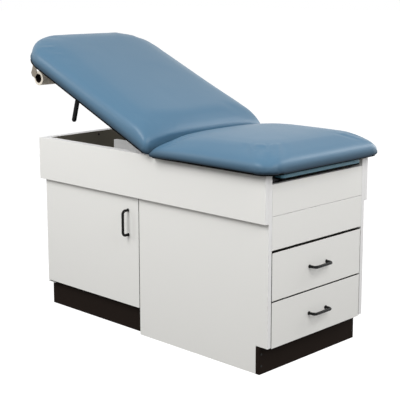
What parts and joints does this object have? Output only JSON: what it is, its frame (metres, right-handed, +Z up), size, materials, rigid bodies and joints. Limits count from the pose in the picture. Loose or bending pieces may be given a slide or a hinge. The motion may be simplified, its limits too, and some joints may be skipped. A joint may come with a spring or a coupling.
{
  "type": "treatment table",
  "caption": "Cabinet treatment table with a tilting padded back, fixed seat, slide-out leg rest, drawers, a side cupboard and a paper roll under the head end.",
  "frame": {"origin": "on the floor under the middle of the cabinet, on the base bearer's underside", "axes": "+X towards the foot end, -Y towards the door side, +Z up"},
  "size_m": [1.422, 0.686, 1.153],
  "materials": {
    "laminate": "pale grey laminate on board",
    "dark_laminate": "dark brown laminate on board",
    "raw_wood": "bare softwood",
    "plywood": "bare plywood",
    "drawer_board": "white melamine board",
    "vinyl": "slate blue soft vinyl",
    "steel": "zinc plated",
    "chrome_rod": "polished",
    "black_metal": "satin black",
    "bronze_steel": "grey brown paint",
    "black_plastic": "satin black",
    "paper": "wound white paper",
    "card": "bare card"
  },
  "bodies": {
    "cabinet": {"side_panel_near": "laminate", "side_panel_far": "laminate", "side_panel_far_head": "laminate", "door_header": "laminate", "head_panel": "laminate", "divider_panel": "laminate", "cabinet_floor": "laminate", "well_deck": "dark_laminate", "shelf": "laminate", "cross_rail": "dark_laminate", "centre_board": "laminate", "apron_near": "laminate", "apron_far": "laminate", "apron_head": "laminate", "fascia_upper": "laminate", "fascia_lower": "laminate", "toe_kick_near": "dark_laminate", "toe_kick_head": "dark_laminate", "toe_kick_foot": "dark_laminate", "base_bearer": "raw_wood", "screws": "steel", "drawer_slide_channels": "steel", "door_pivots": "steel", "door_catch": "black_metal", "seat_pad": "vinyl", "seat_board": "plywood", "seat_hinge_leaves": "steel", "hinge_pins": "steel", "gas_spring_foot_pin": "steel", "leg_rest_runner_near": "dark_laminate", "leg_rest_runner_far": "dark_laminate"},
    "back": {"back_pad": "vinyl", "back_board": "plywood", "back_hinge_leaves": "steel", "gas_spring_bracket": "steel", "lever_bracket": "steel", "lever_pin": "steel", "paper_holder_near": "bronze_steel", "paper_holder_far": "bronze_steel"},
    "gas_cylinder": {"gas_spring_cylinder": "black_metal"},
    "gas_rod": {"gas_spring_rod": "chrome_rod"},
    "release_lever": {"lever_shank": "steel", "lever_grip": "black_plastic"},
    "paper": {"paper_roll": "paper", "paper_core": "card"},
    "door": {"door_panel": "laminate", "door_pull": "black_metal", "door_strike": "steel"},
    "drawer_upper": {"drawer_upper_front": "laminate", "drawer_upper_box": "drawer_board", "drawer_upper_bottom": "drawer_board", "drawer_upper_pull": "black_metal", "drawer_upper_slide_bars": "steel"},
    "drawer_lower": {"drawer_lower_front": "laminate", "drawer_lower_box": "drawer_board", "drawer_lower_bottom": "drawer_board", "drawer_lower_pull": "black_metal", "drawer_lower_slide_bars": "steel"},
    "leg_rest": {"leg_rest_board": "plywood", "leg_rest_pad": "vinyl"}
  },
  "joints": [
    {"name": "back_tilt", "type": "hinge", "parent": "cabinet", "child": "back", "pos_m": [0.067, 0, 0.744], "axis": [0, 1, 0], "range_deg": [-23.6, 36.4]},
    {"name": "gas_spring_turn", "type": "hinge", "parent": "cabinet", "child": "gas_cylinder", "pos_m": [0.087, 0.036, 0.634], "axis": [0, 1, 0], "range_deg": [-18.29, 28.21]},
    {"name": "gas_spring_stroke", "type": "slide", "parent": "gas_cylinder", "child": "gas_rod", "axis": [-0.8431, 0, 0.5377], "range_m": [-0.02966, 0.04574]},
    {"name": "release_lever", "type": "hinge", "parent": "back", "child": "release_lever", "pos_m": [-0.43591, -0.245, 0.93371], "axis": [0, 1, 0], "range_deg": [0, 14], "stiffness_Nm_per_rad": 2},
    {"name": "paper_spin", "type": "hinge", "parent": "back", "child": "paper", "pos_m": [-0.678, 0, 0.97782], "axis": [0, 1, 0], "continuous": true},
    {"name": "door_swing", "type": "hinge", "parent": "cabinet", "child": "door", "pos_m": [-0.619, -0.274, 0.33], "axis": [0, 0, -1], "range_deg": [0, 110]},
    {"name": "upper_drawer_slide", "type": "slide", "parent": "cabinet", "child": "drawer_upper", "axis": [1, 0, 0], "range_m": [0, 0.35]},
    {"name": "lower_drawer_slide", "type": "slide", "parent": "cabinet", "child": "drawer_lower", "axis": [1, 0, 0], "range_m": [0, 0.35]},
    {"name": "leg_rest_slide", "type": "slide", "parent": "cabinet", "child": "leg_rest", "axis": [1, 0, 0], "range_m": [0, 0.36]}
  ],
  "couplings": [
    {"joint": "gas_spring_turn", "follows": "back_tilt", "ratio": 0.775},
    {"joint": "gas_spring_stroke", "follows": "back_tilt", "m_per_rad": 0.072}
  ]
}
